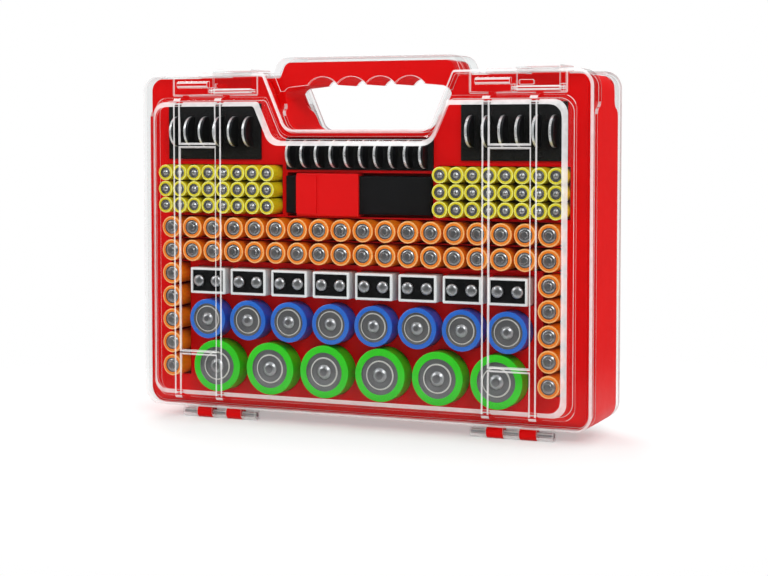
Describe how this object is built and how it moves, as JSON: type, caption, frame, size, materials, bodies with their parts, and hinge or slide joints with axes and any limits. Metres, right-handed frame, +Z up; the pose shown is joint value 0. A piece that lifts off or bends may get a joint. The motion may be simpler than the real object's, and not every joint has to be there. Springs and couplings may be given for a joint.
{
  "type": "double-sided battery storage case",
  "caption": "Upright carry case for household cells: red frame and trays with a finger-grip handle, clear latched covers hinged along the bottom on both sides, and a sliding cell tester.",
  "frame": {"origin": "middle of the bounding box's base: under the hinge knuckles that the upright case stands on, on the middle plane between both covers", "axes": "+X along the case's length, -Y towards the front cover, +Z up towards the handle"},
  "size_m": [0.3146, 0.093, 0.2422],
  "materials": {
    "red_plastic": "moulded polypropylene, semi-gloss",
    "red_slider": "moulded ABS, gloss",
    "black_plastic": "moulded ABS, fine matt",
    "black_foam": "closed-cell polyethylene foam, matt",
    "clear_plastic": "clear polystyrene, polished",
    "steel": "zinc-plated steel",
    "coin_steel": "nickel-plated steel can",
    "orange_cell": "printed foil sleeve over a steel can",
    "yellow_cell": "printed foil sleeve over a steel can",
    "blue_cell": "printed foil sleeve over a steel can",
    "green_cell": "printed foil sleeve over a steel can",
    "black_cell": "printed metal jacket, matt black",
    "light_green_cell": "printed foil sleeve over a steel can",
    "mid_blue_cell": "printed foil sleeve over a steel can",
    "dark_green_cell": "printed foil sleeve over a steel can",
    "cyan_cell": "printed foil sleeve over a steel can",
    "royal_blue_cell": "printed foil sleeve over a steel can"
  },
  "bodies": {
    "case": {"case_frame": "red_plastic", "front_tray": "red_plastic", "rear_tray": "red_plastic", "hinge_pins": "steel", "case_screws": "steel", "left_foam": "black_foam", "right_foam": "black_foam", "middle_foam": "black_foam", "rear_left_foam": "black_foam", "rear_right_foam": "black_foam", "tester_housing": "black_plastic", "aa_cells": "orange_cell", "aaa_cells": "yellow_cell", "c_cells": "blue_cell", "d_cells": "green_cell", "nine_volt_cells": "black_cell", "side_coin_cells": "coin_steel", "middle_coin_cells": "coin_steel", "rear_coin_cells": "coin_steel", "rear_long_cells": "light_green_cell", "rear_photo_cells": "mid_blue_cell", "rear_camera_cells": "dark_green_cell", "rear_short_cells": "yellow_cell", "rear_aa_cells": "orange_cell", "rear_remote_cells": "cyan_cell", "rear_aaa_cells": "royal_blue_cell", "rear_slim_cells": "green_cell"},
    "tester_slider": {"tester_slider": "red_slider"},
    "front_cover": {"front_cover": "clear_plastic"},
    "rear_cover": {"rear_cover": "clear_plastic"},
    "front_left_latch": {"front_left_latch": "clear_plastic"},
    "front_right_latch": {"front_right_latch": "clear_plastic"},
    "rear_left_latch": {"rear_left_latch": "clear_plastic"},
    "rear_right_latch": {"rear_right_latch": "clear_plastic"}
  },
  "joints": [
    {"name": "front_cover_hinge", "type": "hinge", "parent": "case", "child": "front_cover", "pos_m": [0, -0.0234, 0.004], "axis": [1, 0, 0], "range_deg": [0, 180]},
    {"name": "rear_cover_hinge", "type": "hinge", "parent": "case", "child": "rear_cover", "pos_m": [0, 0.0234, 0.004], "axis": [-1, 0, 0], "range_deg": [0, 180]},
    {"name": "front_left_latch_hinge", "type": "hinge", "parent": "front_cover", "child": "front_left_latch", "pos_m": [-0.0878, -0.0355, 0.2198], "axis": [1, 0, 0], "range_deg": [0, 100]},
    {"name": "front_right_latch_hinge", "type": "hinge", "parent": "front_cover", "child": "front_right_latch", "pos_m": [0.1232, -0.0355, 0.2198], "axis": [1, 0, 0], "range_deg": [0, 100]},
    {"name": "rear_left_latch_hinge", "type": "hinge", "parent": "rear_cover", "child": "rear_left_latch", "pos_m": [0.0878, 0.0355, 0.2198], "axis": [-1, 0, 0], "range_deg": [0, 100]},
    {"name": "rear_right_latch_hinge", "type": "hinge", "parent": "rear_cover", "child": "rear_right_latch", "pos_m": [-0.1232, 0.0355, 0.2198], "axis": [-1, 0, 0], "range_deg": [0, 100]},
    {"name": "tester_slide", "type": "slide", "parent": "case", "child": "tester_slider", "axis": [1, 0, 0], "range_m": [0, 0.045]}
  ]
}
